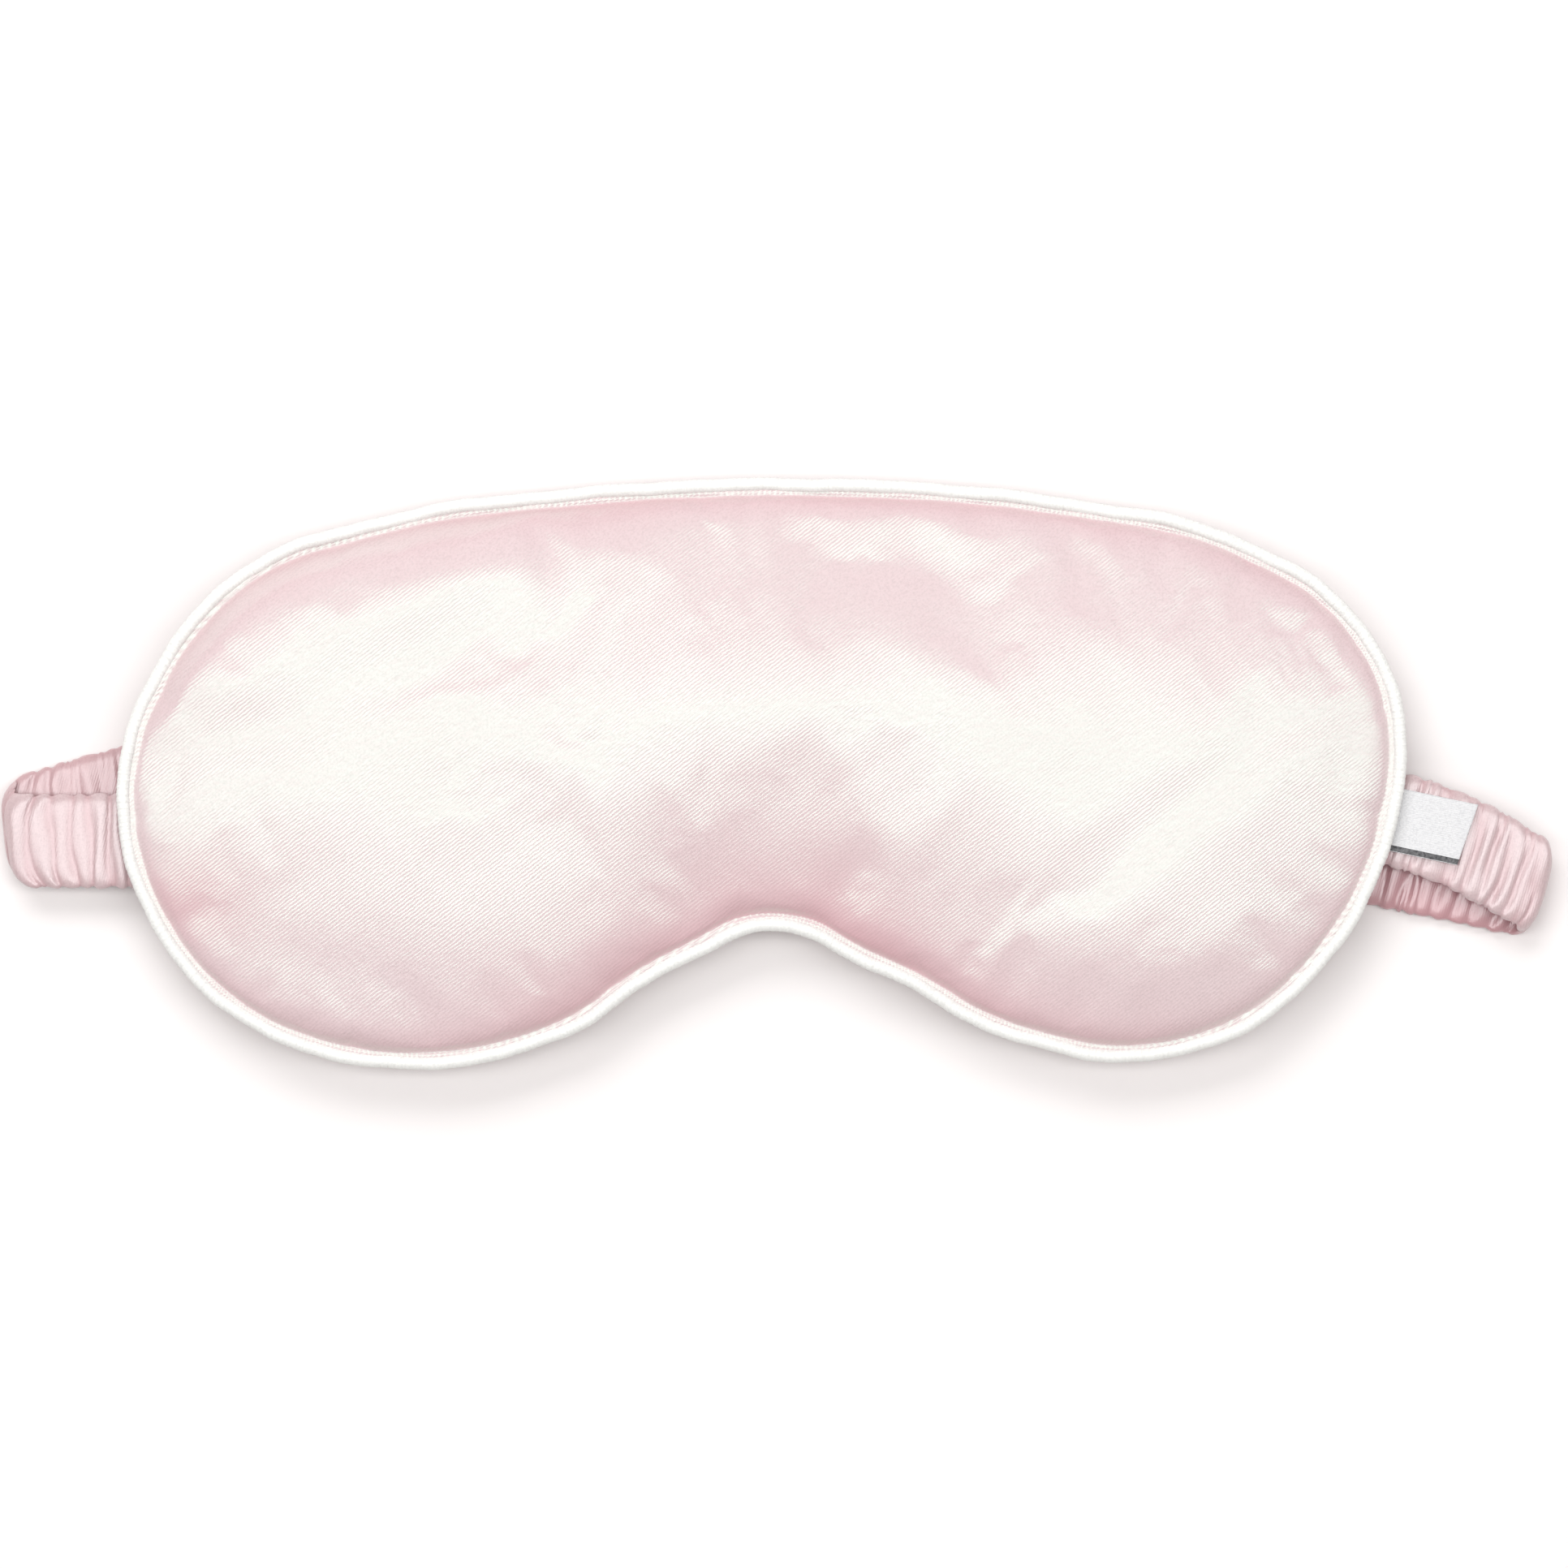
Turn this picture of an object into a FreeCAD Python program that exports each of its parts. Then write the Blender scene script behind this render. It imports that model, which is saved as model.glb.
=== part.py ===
import FreeCAD, Part
import math
import os

# Sleep eye mask: a padded satin mask with a piped edge, lying face up on its own
# ruched elastic strap. Millimetres, +Z up, X along the mask, Y up the wearer's face.
# The origin is at the middle of the footprint, on the surface the mask lies on.

Vector = FreeCAD.Vector
UP = Vector(0, 0, 1)

# Outer edge of the piping, anticlockwise from the middle of the brow. Tangent arcs
# join the points, so the edge is smooth all round.
OUTLINE = [
    (8, 50.4), (-32, 49), (-66, 44.3), (-91, 35.3), (-106, 18.6), (-112.6, -3),
    (-107.4, -24.5), (-94, -40.6), (-76, -48.8), (-56, -50.2), (-38, -45.8), (-17, -33.2),
    (-1.6, -27), (17, -34.1), (40, -45.6), (60, -49.2), (80, -43.9), (96.5, -28.5),
    (105.6, -8), (106.4, 12), (97, 29), (79, 40.2), (45, 47.7),
]

# Layers of the mask, from the seam outwards.
SEAM_HEIGHT = 8.0
PIPING_RADIUS = 1.2
PIPING_SKIN = 0.35
CORD_CLEARANCE = 0.05
FLANGE_WIDTH = 6.0
FLANGE_THICKNESS = 0.6
COVER_THICKNESS = 0.5
LINING_THICKNESS = 0.4
CROWN_HEIGHT = 15.6
EDGE_ROUNDING = 6.0
LAYER_GAP = 0.15
THREAD = 0.3
SEAM_INSET = 2 * PIPING_RADIUS
STITCH_INSET = SEAM_INSET + 2.5
ALLOWANCE_INSET = SEAM_INSET + 7.0

# Strap: a ruched satin tube over a flat elastic, folded back under the mask.
SPAN = 263.4
STRAP_WIDTH = 16.3
STRAP_THICKNESS = 2.0
CASING_THICKNESS = 0.45
ELASTIC_WIDTH = 12.7
ELASTIC_THICKNESS = 0.9
FOLD_RADIUS = 2.0
STRAP_CLEARANCE = 0.3
BEND_RADIUS = 300.0
SEAM_THREAD_OFFSET = 7.0

# Directions of the strap, in degrees from +X, and how far each sewn end runs
# from its fold to the place where it stops inside the mask.
LEFT_END_ANGLE = 0.0
LEFT_BACK_ANGLE = 16.0
LEFT_END_RUN = 26.5
LEFT_FOLD_Y = -11.6
RIGHT_END_ANGLE = -20.0
RIGHT_BACK_ANGLE = -12.0
RIGHT_END_RUN = 33.5
RIGHT_FOLD_Y = -17.7

# Bar tacks that hold each strap end.
TACK_BARS = 4
TACK_PITCH = 1.6
TACK_LENGTH = 13.0

# Woven label, folded over and caught in the seam beside the right strap end.
LABEL_LENGTH = 11.4
LABEL_WIDTH = 10.8
LABEL_THICKNESS = 0.4
LABEL_PLY = 0.16
LABEL_ANGLE = -12.0
LABEL_START = (106.3, -8.0)
LABEL_HEIGHT = 6.4

BELOW_FLANGE = SEAM_HEIGHT - FLANGE_THICKNESS / 2
ABOVE_FLANGE = SEAM_HEIGHT + FLANGE_THICKNESS / 2
BACK_SEAM = BELOW_FLANGE - LINING_THICKNESS
STRAP_TOP_MIDDLE = STRAP_THICKNESS / 2 + 2 * FOLD_RADIUS
FOLD_AXIS_HEIGHT = STRAP_THICKNESS / 2 + FOLD_RADIUS


def along(angle):
    """Unit vector in the ground plane at an angle in degrees from +X."""
    turn = math.radians(angle)
    return Vector(math.cos(turn), math.sin(turn), 0)


def left_of(angle):
    """Unit vector to the left of a direction."""
    return along(angle + 90)


def raised(point, height):
    """The same point at another height."""
    return Vector(point.x, point.y, height)


# ---- outline of tangent arcs ----

def tangent(before, here, after):
    """Direction at a point, along the circle through it and its neighbours."""
    arriving = here - before
    leaving = after - here
    ratio = leaving.Length / arriving.Length
    return (arriving * ratio + leaving * (1 / ratio)).normalize()


def arc_leaving(start, direction, end):
    """Arc that leaves start along direction and arrives at end."""
    chord = end - start
    turn = math.atan2(direction.cross(chord).z, direction.dot(chord))
    rise = math.tan(turn / 2) / 2
    middle = (start + end) * 0.5 - UP.cross(chord) * rise
    return Part.Arc(start, middle, end).toShape()


def tangent_arc_pair(start, start_direction, end, end_direction):
    """Two arcs that join two points and match the direction at both, each given as
    its start, the direction there, its end and the direction there."""
    chord = end - start
    both = start_direction + end_direction
    square = 2 * (1 - start_direction.dot(end_direction))
    linear = chord.dot(both)
    reach = (math.sqrt(linear ** 2 + square * chord.dot(chord)) - linear) / square
    first_arm = start + start_direction * reach
    last_arm = end - end_direction * reach
    join = (first_arm + last_arm) * 0.5
    join_direction = (last_arm - first_arm).normalize()
    return [
        (start, start_direction, join, join_direction),
        (join, join_direction, end, end_direction),
    ]


def silhouette():
    """All the arcs of the outline, in order."""
    points = [Vector(x, y, 0) for x, y in OUTLINE]
    count = len(points)
    directions = []
    for i in range(count):
        directions.append(tangent(points[i - 1], points[i], points[(i + 1) % count]))
    arcs = []
    for i in range(count):
        after = (i + 1) % count
        arcs += tangent_arc_pair(points[i], directions[i], points[after], directions[after])
    return arcs


ARCS = silhouette()


def loop_at(inset, height):
    """The outline moved inwards and raised. Each arc keeps its centre."""
    edges = []
    for start, start_direction, end, end_direction in ARCS:
        first = start + UP.cross(start_direction) * inset
        last = end + UP.cross(end_direction) * inset
        edges.append(arc_leaving(raised(first, height), start_direction, raised(last, height)))
    return Part.Wire(edges)


def plate(inset, low, high):
    """Flat layer with the mask's outline."""
    return Part.Face(loop_at(inset, low)).extrude(Vector(0, 0, high - low))


def ring(outer_inset, inner_inset, low, high):
    """Flat band that follows the mask's outline."""
    return plate(outer_inset, low, high).cut(plate(inner_inset, low, high))


def pillow(inset, seam, crown, rounding):
    """Pad with a rounded rim on its crown side; the crown may be above or below."""
    block = Part.Face(loop_at(inset, seam)).extrude(Vector(0, 0, crown - seam))
    rim = []
    for edge in block.Edges:
        if all(abs(vertex.Z - crown) < 1e-6 for vertex in edge.Vertexes):
            rim.append(edge)
    return block.makeFillet(rounding, rim)


def tube(inset, radius):
    """Round section carried along the outline at the height of the seam."""
    spine = loop_at(inset, SEAM_HEIGHT)
    start = spine.Edges[0]
    point = start.valueAt(start.FirstParameter)
    direction = start.tangentAt(start.FirstParameter)
    section = Part.Wire(Part.makeCircle(radius, point, direction))
    sweep = Part.BRepOffsetAPI.MakePipeShell(spine)
    sweep.setBiNormalMode(UP)
    sweep.add(section)
    sweep.build()
    sweep.makeSolid()
    return sweep.shape()


# ---- strap ----

class Fold:
    """Where the strap turns back under itself at one side of the mask."""

    def __init__(self, outward, end_angle, back_angle, end_run, middle_y):
        self.outward = outward
        self.end_angle = end_angle
        self.back_angle = back_angle
        self.end_run = end_run
        self.cross_angle = (end_angle + back_angle) / 2
        self.tilt = math.radians((end_angle - back_angle) / 2)
        self.line = left_of(self.cross_angle)
        outer_radius = FOLD_RADIUS + STRAP_THICKNESS / 2
        bulge = outer_radius * math.cos(math.radians(self.cross_angle))
        lean = abs(self.line.x) * STRAP_WIDTH / 2 / math.cos(self.tilt)
        self.centre = Vector(outward * (SPAN / 2 - bulge - lean), middle_y, 0)

    def at(self, side):
        """Point of the fold line where a lengthwise line of the strap crosses it."""
        return self.centre + self.line * (side / math.cos(self.tilt))

    def end_at(self, side, run):
        """Point of the sewn end, the given run from the fold."""
        inward = along(self.end_angle) * (-self.outward * run)
        return self.centre + inward + left_of(self.end_angle) * side


LEFT = Fold(-1, LEFT_END_ANGLE, LEFT_BACK_ANGLE, LEFT_END_RUN, LEFT_FOLD_Y)
RIGHT = Fold(1, RIGHT_END_ANGLE, RIGHT_BACK_ANGLE, RIGHT_END_RUN, RIGHT_FOLD_Y)
BEND = math.radians((LEFT_BACK_ANGLE - RIGHT_BACK_ANGLE) / 2)


def back_corner(side):
    """Where the two straight runs of one lengthwise line behind the mask would meet."""
    across = RIGHT.centre - LEFT.centre
    left_run = along(LEFT_BACK_ANGLE)
    right_run = along(RIGHT_BACK_ANGLE)
    distance = across.cross(right_run).z / left_run.cross(right_run).z
    corner = LEFT.centre + left_run * distance
    bisector = left_of((LEFT_BACK_ANGLE + RIGHT_BACK_ANGLE) / 2)
    return corner + bisector * (side / math.cos(BEND)), bisector


def back_edge(side):
    """One lengthwise line of the strap behind the mask: a run, an arc and a run."""
    corner, bisector = back_corner(side)
    radius = BEND_RADIUS + side
    reach = radius * math.tan(BEND)
    first = corner - along(LEFT_BACK_ANGLE) * reach
    last = corner + along(RIGHT_BACK_ANGLE) * reach
    middle = corner - bisector * (radius / math.cos(BEND) - radius)
    return [
        Part.makeLine(LEFT.at(side), first),
        Part.Arc(first, middle, last).toShape(),
        Part.makeLine(last, RIGHT.at(side)),
    ]


def back_run(low_side, high_side, low, high):
    """Strap behind the mask, between two lengthwise lines and two heights."""
    edges = back_edge(low_side) + back_edge(high_side)
    edges.append(Part.makeLine(LEFT.at(low_side), LEFT.at(high_side)))
    edges.append(Part.makeLine(RIGHT.at(low_side), RIGHT.at(high_side)))
    face = Part.Face(Part.Wire(Part.__sortEdges__(edges)))
    face.translate(Vector(0, 0, low))
    return face.extrude(Vector(0, 0, high - low))


def end_run(fold, low_side, high_side, low, high, run):
    """Sewn end of the strap, from the fold into the mask."""
    corners = [
        fold.at(low_side),
        fold.at(high_side),
        fold.end_at(high_side, run),
        fold.end_at(low_side, run),
    ]
    corners = [raised(corner, low) for corner in corners]
    face = Part.Face(Part.makePolygon(corners + corners[:1]))
    return face.extrude(Vector(0, 0, high - low))


def elbow(fold, low_side, high_side, thickness):
    """Half tube where the strap turns over."""
    outward = along(fold.cross_angle) * fold.outward
    centre = raised(fold.at(low_side), FOLD_AXIS_HEIGHT)
    inner = FOLD_RADIUS - thickness / 2
    outer = FOLD_RADIUS + thickness / 2
    edges = [
        Part.Arc(centre - UP * outer, centre + outward * outer, centre + UP * outer).toShape(),
        Part.makeLine(centre + UP * outer, centre + UP * inner),
        Part.Arc(centre + UP * inner, centre + outward * inner, centre - UP * inner).toShape(),
        Part.makeLine(centre - UP * inner, centre - UP * outer),
    ]
    return Part.Face(Part.Wire(edges)).extrude(fold.at(high_side) - fold.at(low_side))


def strap_layer(low_side, high_side, thickness, extra_run):
    """A band that follows the whole strap, from one sewn end to the other."""
    half = thickness / 2
    middle = STRAP_THICKNESS / 2
    pieces = [back_run(low_side, high_side, middle - half, middle + half)]
    for fold in (LEFT, RIGHT):
        pieces.append(elbow(fold, low_side, high_side, thickness))
        run = fold.end_run + extra_run
        low = STRAP_TOP_MIDDLE - half
        pieces.append(end_run(fold, low_side, high_side, low, low + thickness, run))
    return pieces[0].fuse(pieces[1:]).removeSplitter()


def strap_room():
    """Room for the strap in the back of the mask: a channel and two pockets."""
    side = STRAP_WIDTH / 2 + STRAP_CLEARANCE
    pieces = [back_run(-side, side, -1, STRAP_THICKNESS + STRAP_CLEARANCE)]
    for fold in (LEFT, RIGHT):
        low = STRAP_TOP_MIDDLE - STRAP_THICKNESS / 2 - LAYER_GAP
        high = BACK_SEAM - COVER_THICKNESS - LAYER_GAP
        pieces.append(end_run(fold, -side, side, low, high, fold.end_run + STRAP_CLEARANCE))
    return pieces


def channel_lining_room():
    """The channel again, larger by the thickness of the back cover."""
    side = STRAP_WIDTH / 2 + STRAP_CLEARANCE + COVER_THICKNESS
    return back_run(-side, side, -1, STRAP_THICKNESS + STRAP_CLEARANCE + COVER_THICKNESS)


# ---- pieces of the mask ----

def front_cover():
    """Satin front panel with its seam allowance turned in."""
    inside = SEAM_INSET + COVER_THICKNESS
    shell = pillow(SEAM_INSET, ABOVE_FLANGE, CROWN_HEIGHT, EDGE_ROUNDING)
    hollow = pillow(
        inside,
        ABOVE_FLANGE + COVER_THICKNESS,
        CROWN_HEIGHT - COVER_THICKNESS,
        EDGE_ROUNDING - COVER_THICKNESS,
    )
    mouth = plate(ALLOWANCE_INSET, ABOVE_FLANGE - 1, ABOVE_FLANGE + COVER_THICKNESS)
    return shell.cut(hollow).cut(mouth)


def back_cover():
    """Satin back panel, dented where the strap runs under it."""
    inside = SEAM_INSET + COVER_THICKNESS
    shell = pillow(SEAM_INSET, BACK_SEAM, 0, EDGE_ROUNDING)
    hollow = pillow(
        inside, BACK_SEAM - COVER_THICKNESS, COVER_THICKNESS, EDGE_ROUNDING - COVER_THICKNESS
    )
    hollow = hollow.cut(channel_lining_room())
    mouth = plate(ALLOWANCE_INSET, BACK_SEAM - COVER_THICKNESS, BACK_SEAM + 1)
    return shell.cut(hollow).cut(mouth).cut(strap_room())


def front_wadding():
    """Polyester wadding behind the front panel."""
    floor = ABOVE_FLANGE + COVER_THICKNESS + THREAD + LAYER_GAP
    pad = pillow(
        SEAM_INSET + COVER_THICKNESS + LAYER_GAP,
        floor,
        CROWN_HEIGHT - COVER_THICKNESS - LAYER_GAP,
        EDGE_ROUNDING - COVER_THICKNESS - LAYER_GAP,
    )
    core = plate(ALLOWANCE_INSET + LAYER_GAP, BELOW_FLANGE + LAYER_GAP, floor)
    return pad.fuse(core)


def back_wadding():
    """Polyester wadding behind the back panel, with room for the strap."""
    top = BACK_SEAM - COVER_THICKNESS - THREAD - LAYER_GAP
    pad = pillow(
        SEAM_INSET + COVER_THICKNESS + LAYER_GAP,
        top,
        COVER_THICKNESS + LAYER_GAP,
        EDGE_ROUNDING - COVER_THICKNESS - 2 * LAYER_GAP,
    )
    core = plate(ALLOWANCE_INSET + LAYER_GAP, top, BACK_SEAM - LAYER_GAP)
    side = STRAP_WIDTH / 2 + STRAP_CLEARANCE + COVER_THICKNESS + LAYER_GAP
    roof = STRAP_THICKNESS + STRAP_CLEARANCE + COVER_THICKNESS + LAYER_GAP
    return pad.fuse(core).cut(strap_room()).cut(back_run(-side, side, -1, roof))


def piping_cover():
    """Bias-cut satin wrapped round the cord, with a flange caught in the seam."""
    skin = tube(PIPING_RADIUS, PIPING_RADIUS)
    bore = tube(PIPING_RADIUS, PIPING_RADIUS - PIPING_SKIN)
    flange = ring(PIPING_RADIUS, SEAM_INSET + FLANGE_WIDTH, BELOW_FLANGE, ABOVE_FLANGE)
    return skin.fuse(flange).cut(bore)


def piping_cord():
    """Round filler cord inside the piping."""
    return tube(PIPING_RADIUS, PIPING_RADIUS - PIPING_SKIN - CORD_CLEARANCE)


def perimeter_stitching():
    """Needle thread above the seam allowances and bobbin thread below them."""
    above = ABOVE_FLANGE + COVER_THICKNESS
    below = BACK_SEAM - COVER_THICKNESS
    upper = ring(STITCH_INSET, STITCH_INSET + THREAD, above, above + THREAD)
    lower = ring(STITCH_INSET, STITCH_INSET + THREAD, below - THREAD, below)
    return Part.makeCompound([upper, lower.cut(strap_room())])


def strap_tack(fold):
    """Bar tacks across one sewn end of the strap."""
    height = STRAP_TOP_MIDDLE + STRAP_THICKNESS / 2
    bars = []
    for i in range(TACK_BARS):
        run = fold.end_run - (i + 1) * TACK_PITCH
        near = raised(fold.end_at(-TACK_LENGTH / 2, run), height)
        far = raised(fold.end_at(TACK_LENGTH / 2, run), height)
        across = along(fold.end_angle) * THREAD
        face = Part.Face(Part.makePolygon([near, far, far + across, near + across, near]))
        bars.append(face.extrude(UP * THREAD))
    return Part.makeCompound(bars)


def label():
    """Woven label folded over, with a round fold at its outer end."""
    start = Vector(LABEL_START[0], LABEL_START[1], LABEL_HEIGHT)
    outward = along(LABEL_ANGLE)
    half = LABEL_THICKNESS / 2
    inner = half - LABEL_PLY
    end = start + outward * (LABEL_LENGTH - half)
    edges = [
        Part.makeLine(start - UP * half, end - UP * half),
        Part.Arc(end - UP * half, end + outward * half, end + UP * half).toShape(),
        Part.makeLine(end + UP * half, start + UP * half),
        Part.makeLine(start + UP * half, start + UP * inner),
        Part.makeLine(start + UP * inner, end + UP * inner),
        Part.Arc(end + UP * inner, end + outward * inner, end - UP * inner).toShape(),
        Part.makeLine(end - UP * inner, start - UP * inner),
        Part.makeLine(start - UP * inner, start - UP * half),
    ]
    face = Part.Face(Part.Wire(edges))
    face.translate(left_of(LABEL_ANGLE) * (-LABEL_WIDTH / 2))
    return face.extrude(left_of(LABEL_ANGLE) * LABEL_WIDTH)


def strap_casing():
    """Ruched satin tube, open at both sewn ends."""
    side = STRAP_WIDTH / 2
    bore_side = side - CASING_THICKNESS
    bore = strap_layer(-bore_side, bore_side, STRAP_THICKNESS - 2 * CASING_THICKNESS, 1.0)
    return strap_layer(-side, side, STRAP_THICKNESS, 0.0).cut(bore)


def strap_elastic():
    """Flat woven elastic inside the casing."""
    return strap_layer(-ELASTIC_WIDTH / 2, ELASTIC_WIDTH / 2, ELASTIC_THICKNESS, -0.5)


def casing_seam_thread():
    """Thread of the casing's long seam, inside its upper edge."""
    low = SEAM_THREAD_OFFSET
    return strap_layer(low, low + THREAD, THREAD, -0.5)


PIECES = {
    "front_cover": front_cover(),
    "front_wadding": front_wadding(),
    "blackout_lining": plate(SEAM_INSET + COVER_THICKNESS, BACK_SEAM, BELOW_FLANGE),
    "back_wadding": back_wadding(),
    "back_cover": back_cover(),
    "piping_cover": piping_cover(),
    "piping_cord": piping_cord(),
    "perimeter_stitching": perimeter_stitching(),
    "strap_casing": strap_casing(),
    "strap_elastic": strap_elastic(),
    "casing_seam_thread": casing_seam_thread(),
    "left_strap_tack": strap_tack(LEFT),
    "right_strap_tack": strap_tack(RIGHT),
    "label": label(),
}

os.makedirs("parts", exist_ok=True)
for name, shape in PIECES.items():
    shape.exportStep("parts/" + name + ".step")
    box = shape.BoundBox
    print(name, len(shape.Solids), shape.isValid(), round(shape.Volume, 1), box)
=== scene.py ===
import math

import bpy
import numpy as np
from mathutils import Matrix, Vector, geometry, noise


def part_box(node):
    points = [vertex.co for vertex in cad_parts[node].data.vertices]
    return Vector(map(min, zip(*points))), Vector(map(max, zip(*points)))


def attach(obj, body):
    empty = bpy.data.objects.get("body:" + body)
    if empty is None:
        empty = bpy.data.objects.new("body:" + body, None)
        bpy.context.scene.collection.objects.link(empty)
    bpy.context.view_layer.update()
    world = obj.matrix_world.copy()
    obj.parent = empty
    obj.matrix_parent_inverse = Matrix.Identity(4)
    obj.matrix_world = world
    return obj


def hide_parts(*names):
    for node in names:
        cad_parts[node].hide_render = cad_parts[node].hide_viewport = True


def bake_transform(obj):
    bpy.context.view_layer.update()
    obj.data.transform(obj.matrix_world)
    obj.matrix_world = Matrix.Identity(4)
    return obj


# A padded satin sleep mask with a piped edge, lying face up on its ruched strap.
# Sizes are in millimetres until a mesh is made, and MM turns them into metres.

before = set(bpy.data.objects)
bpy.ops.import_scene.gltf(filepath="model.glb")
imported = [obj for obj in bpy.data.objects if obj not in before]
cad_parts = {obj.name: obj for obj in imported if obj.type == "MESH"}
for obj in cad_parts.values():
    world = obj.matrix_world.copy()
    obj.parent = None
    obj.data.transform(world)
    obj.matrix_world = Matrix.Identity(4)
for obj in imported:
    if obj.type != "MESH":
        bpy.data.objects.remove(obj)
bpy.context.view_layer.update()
MM = 0.001

# Outer edge of the piping, as in the CAD model: tangent arcs through these points.
OUTLINE = [
    (8, 50.4), (-32, 49), (-66, 44.3), (-91, 35.3), (-106, 18.6), (-112.6, -3),
    (-107.4, -24.5), (-94, -40.6), (-76, -48.8), (-56, -50.2), (-38, -45.8), (-17, -33.2),
    (-1.6, -27), (17, -34.1), (40, -45.6), (60, -49.2), (80, -43.9), (96.5, -28.5),
    (105.6, -8), (106.4, 12), (97, 29), (79, 40.2), (45, 47.7),
]

# Sizes read from the frame.
PIPING_LOW, PIPING_HIGH = (corner.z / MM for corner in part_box("piping_cover"))
SEAM_HEIGHT = (PIPING_LOW + PIPING_HIGH) / 2
PIPING_RADIUS = (PIPING_HIGH - PIPING_LOW) / 2
CROWN_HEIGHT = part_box("front_cover")[1].z / MM
STRAP_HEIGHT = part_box("strap_casing")[1].z / MM

# Strap, as in the CAD model.
SPAN = 263.4
STRAP_WIDTH = 16.3
STRAP_THICKNESS = 2.0
FOLD_RADIUS = (STRAP_HEIGHT - STRAP_THICKNESS) / 2
BEND_RADIUS = 300.0
LEFT_STRAP = {"outward": -1, "end": 0.0, "back": 16.0, "run": 26.5, "middle_y": -11.6}
RIGHT_STRAP = {"outward": 1, "end": -20.0, "back": -12.0, "run": 33.5, "middle_y": -17.7}

# How the two loops have slumped, unlike the CAD model: the shift of the lower layer
# across the strap, the arch of the upper one, how far the corners of the fold are
# rounded off, and how far its middle stands out.
LEFT_SLUMP = {"shift": 3.6, "arch": 0.2, "rounding": 2.4, "bulge": 1.6}
RIGHT_SLUMP = {"shift": -1.8, "arch": 2.4, "rounding": 1.6, "bulge": 2.2}


# ---------------------------------------------------------------- small helpers

def make_mesh(name, points_mm, faces):
    """A new mesh object in the scene, from points in millimetres."""
    mesh = bpy.data.meshes.new(name)
    mesh.from_pydata((np.asarray(points_mm, float) * MM).tolist(), [], faces)
    mesh.validate()
    mesh.shade_smooth()
    piece = bpy.data.objects.new(name, mesh)
    bpy.context.scene.collection.objects.link(piece)
    return piece


def grid_faces(rows, columns, closed_rows=False, closed_columns=False):
    """Quads between the points of a grid, joined round in either direction if closed."""
    faces = []
    for row in range(rows if closed_rows else rows - 1):
        here, after = row * columns, (row + 1) % rows * columns
        for i in range(columns if closed_columns else columns - 1):
            j = (i + 1) % columns
            faces.append((here + i, here + j, after + j, after + i))
    return faces


def apply_modifier(piece, modifier):
    """Keep what a modifier makes of a piece, and remove the modifier."""
    graph = bpy.context.evaluated_depsgraph_get()
    mesh = bpy.data.meshes.new_from_object(piece.evaluated_get(graph))
    piece.modifiers.remove(modifier)
    piece.data = mesh


def set_shade(piece, values):
    """Store the painted shade at each point, from 0 to 1: how far the cloth's colour deepens."""
    layer = piece.data.attributes.new("shade", "FLOAT", "POINT")
    layer.data.foreach_set("value", np.clip(values, 0, 1).astype(np.float32))


def smoothstep(value, low, high):
    """0 below low, 1 above high and a smooth rise between."""
    t = np.clip((np.asarray(value, float) - low) / (high - low), 0, 1)
    return t * t * (3 - 2 * t)


def bell(offset, width):
    """1 at no offset, falling smoothly to nearly 0 at twice the width."""
    return np.exp(-(offset / width) ** 2)


def oval(points_mm, middle, reach):
    """1 in the middle of an oval, falling smoothly to nearly 0 at twice its reach."""
    away = (points_mm - np.array(middle)) / np.array(reach)
    return np.exp(-(away ** 2).sum(1))


def noise_at(points_mm, wavelength, seed):
    """Smooth noise between about -1 and 1, at points given as rows of x, y."""
    offset = Vector((seed * 17.3, seed * 5.1, seed * 9.7))
    values = []
    for x, y in points_mm:
        values.append(noise.noise(Vector((x / wavelength, y / wavelength, 0)) + offset))
    return np.array(values)


# ---------------------------------------------------------------- outline

def tangent(before, here, after):
    """Direction at a point, along the circle through it and its neighbours."""
    arriving = here - before
    leaving = after - here
    ratio = abs(leaving) / abs(arriving)
    direction = arriving * ratio + leaving / ratio
    return direction / abs(direction)


def arc_samples(start, direction, end, step):
    """Points and directions along the arc that leaves start along direction."""
    chord = end - start
    half_turn = np.angle(chord / direction)
    curvature = 2 * math.sin(half_turn) / abs(chord)
    length = abs(chord) if abs(half_turn) < 1e-6 else 2 * half_turn / curvature
    count = max(2, round(length / step))
    travelled = np.arange(count) * length / count
    turned = np.exp(1j * curvature * travelled)
    if abs(half_turn) < 1e-6:
        return start + direction * travelled, direction * turned
    return start + direction * (turned - 1) / (1j * curvature), direction * turned


def outline_samples(step):
    """Points of the outline and the inward normals there, as complex numbers."""
    corners = [complex(x, y) for x, y in OUTLINE]
    count = len(corners)
    directions = []
    for i in range(count):
        directions.append(tangent(corners[i - 1], corners[i], corners[(i + 1) % count]))
    points = []
    headings = []
    for i in range(count):
        start, end = corners[i], corners[(i + 1) % count]
        first, last = directions[i], directions[(i + 1) % count]
        chord = end - start
        both = first + last
        square = 2 * (1 - (first.conjugate() * last).real)
        linear = (chord.conjugate() * both).real
        reach = (math.sqrt(linear ** 2 + square * abs(chord) ** 2) - linear) / square
        first_arm = start + first * reach
        last_arm = end - last * reach
        join = (first_arm + last_arm) / 2
        middle = (last_arm - first_arm) / abs(last_arm - first_arm)
        for leg in ((start, first, join), (join, middle, end)):
            leg_points, leg_headings = arc_samples(*leg, step)
            points.append(leg_points)
            headings.append(leg_headings)
    return np.concatenate(points), np.concatenate(headings) * 1j


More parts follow.
